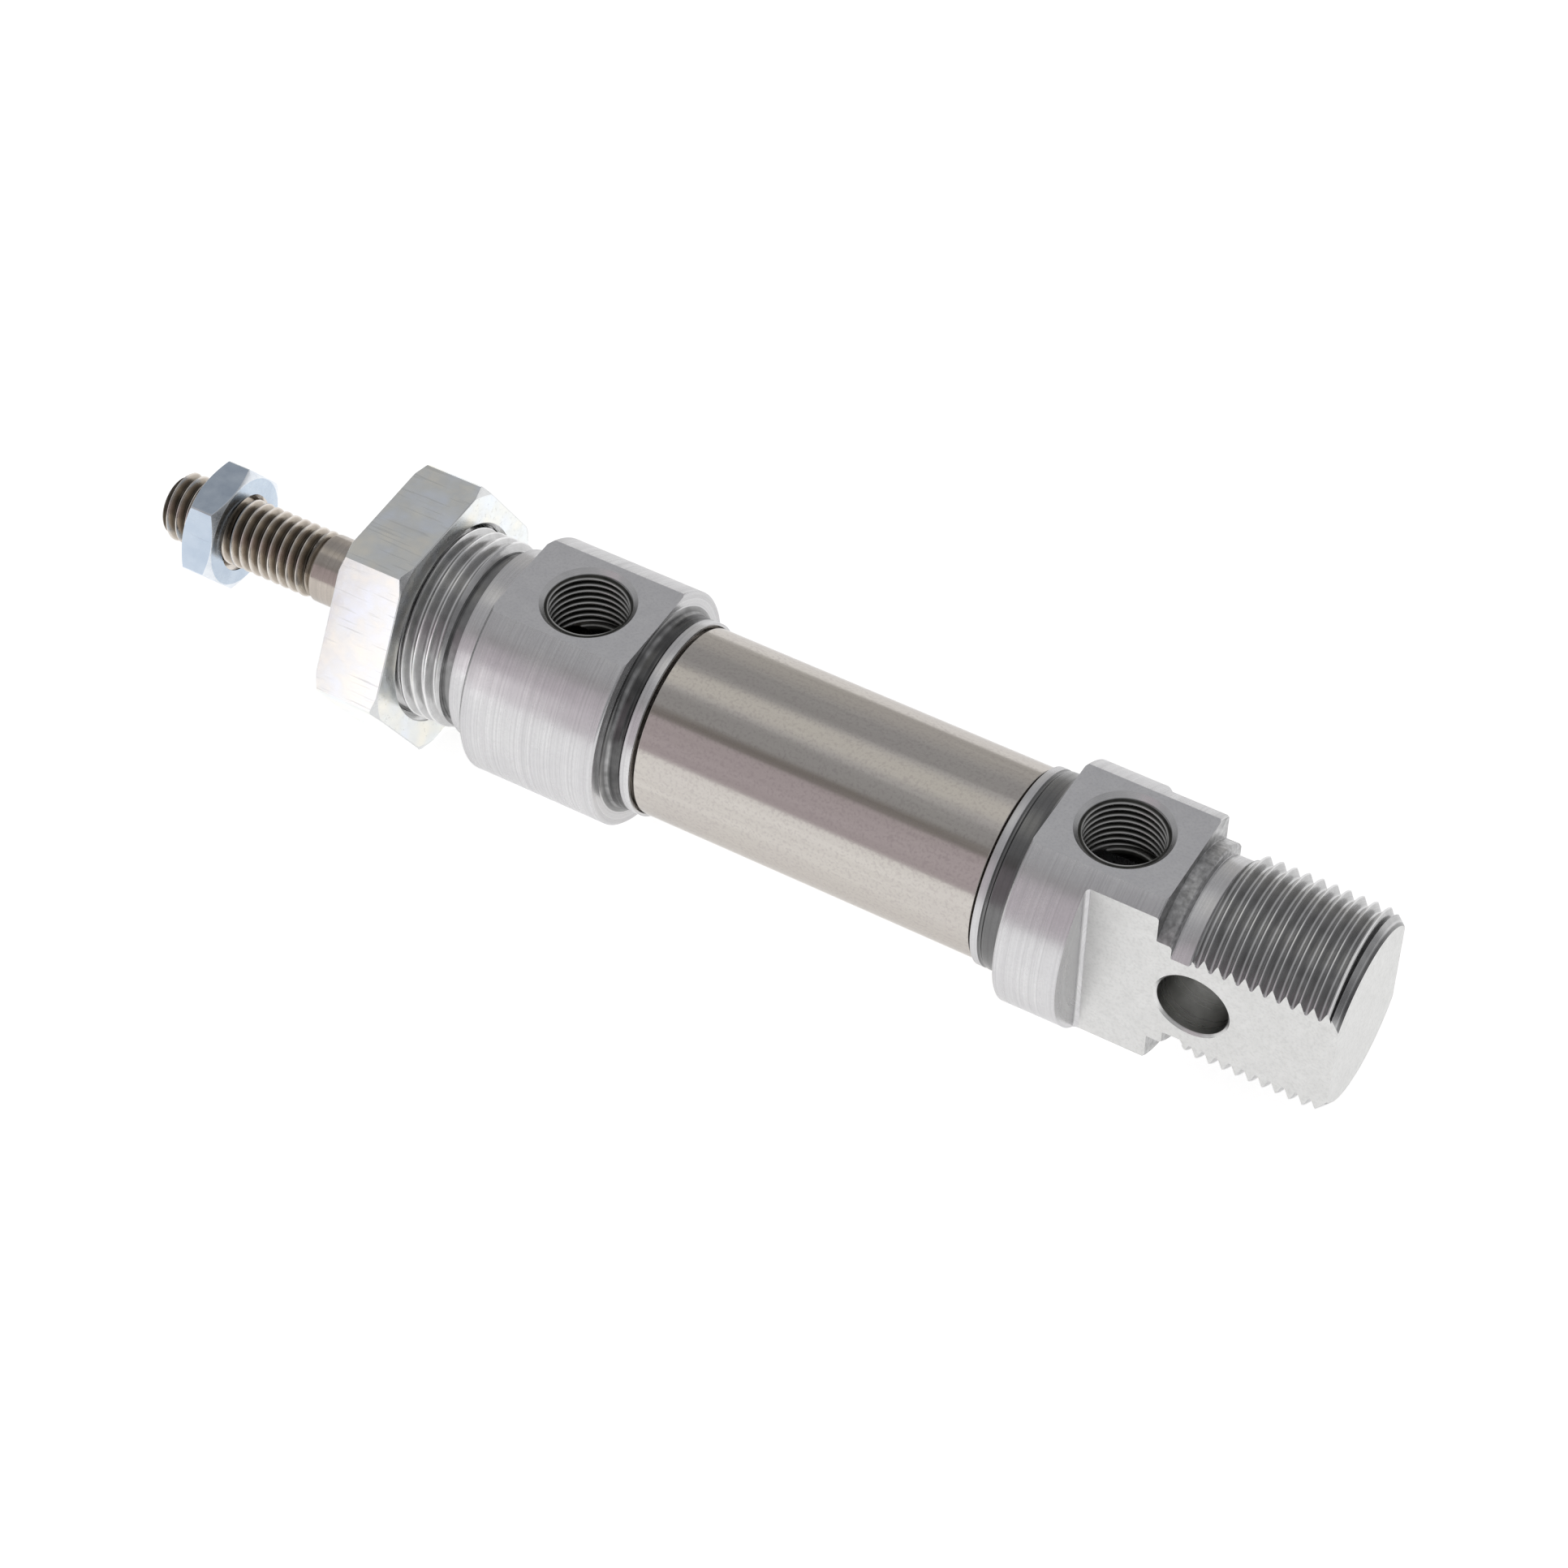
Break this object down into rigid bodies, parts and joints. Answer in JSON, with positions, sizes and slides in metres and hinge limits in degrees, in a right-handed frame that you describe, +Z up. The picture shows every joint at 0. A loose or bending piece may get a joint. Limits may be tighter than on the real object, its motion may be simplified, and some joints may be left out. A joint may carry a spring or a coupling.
{
  "type": "pneumatic cylinder",
  "caption": "Round double-acting air cylinder with a threaded nose and a flatted, cross-drilled tail; the rod slides and turns, and its nuts run on their threads.",
  "frame": {"origin": "on the cylinder's axis, in the plane of the front mounting shoulder", "axes": "+X along the rod, out of the nose; +Z up through the two air ports; +Y out of one of the tail's milled flats"},
  "size_m": [0.1469, 0.032, 0.0282],
  "materials": {
    "cap_aluminium": "satin, finely turned",
    "barrel_steel": "drawn stainless steel, smooth",
    "nose_nut_zinc": "bright zinc plate",
    "rod_nut_zinc": "blue zinc plate",
    "rod_steel": "ground stainless steel",
    "small_steel": "plain spring steel",
    "piston_aluminium": "turned",
    "bush_bronze": "sintered bronze, oily",
    "magnet_ferrite": "matte",
    "guide_plastic": "smooth",
    "bumper_rubber": "matte",
    "seal_rubber": "matte"
  },
  "bodies": {
    "barrel": {"front_cap": "cap_aluminium", "rear_cap": "cap_aluminium", "barrel_tube": "barrel_steel", "rod_bush": "bush_bronze", "rod_seal": "seal_rubber", "seal_retainer": "small_steel", "snap_ring": "small_steel", "front_bumper": "bumper_rubber", "rear_bumper": "bumper_rubber", "front_tube_oring": "seal_rubber", "rear_tube_oring": "seal_rubber"},
    "piston_rings": {"guide_ring": "guide_plastic", "front_piston_seal": "seal_rubber", "rear_piston_seal": "seal_rubber"},
    "rod": {"piston_rod": "rod_steel", "piston_front": "piston_aluminium", "piston_rear": "piston_aluminium", "piston_magnet": "magnet_ferrite", "piston_oring": "seal_rubber", "piston_nut": "small_steel"},
    "nose_nut": {"nose_nut": "nose_nut_zinc"},
    "rod_nut": {"rod_nut": "rod_nut_zinc"}
  },
  "joints": [
    {"name": "rod_slide", "type": "slide", "parent": "barrel", "child": "piston_rings", "axis": [1, 0, 0], "range_m": [0, 0.015]},
    {"name": "rod_spin", "type": "hinge", "parent": "piston_rings", "child": "rod", "pos_m": [0, 0, 0], "axis": [1, 0, 0], "continuous": true},
    {"name": "nose_nut_travel", "type": "slide", "parent": "barrel", "child": "nose_nut", "axis": [1, 0, 0], "range_m": [-0.0062, 0.0085]},
    {"name": "rod_nut_travel", "type": "slide", "parent": "rod", "child": "rod_nut", "axis": [1, 0, 0], "range_m": [-0.0108, 0.0088]}
  ]
}
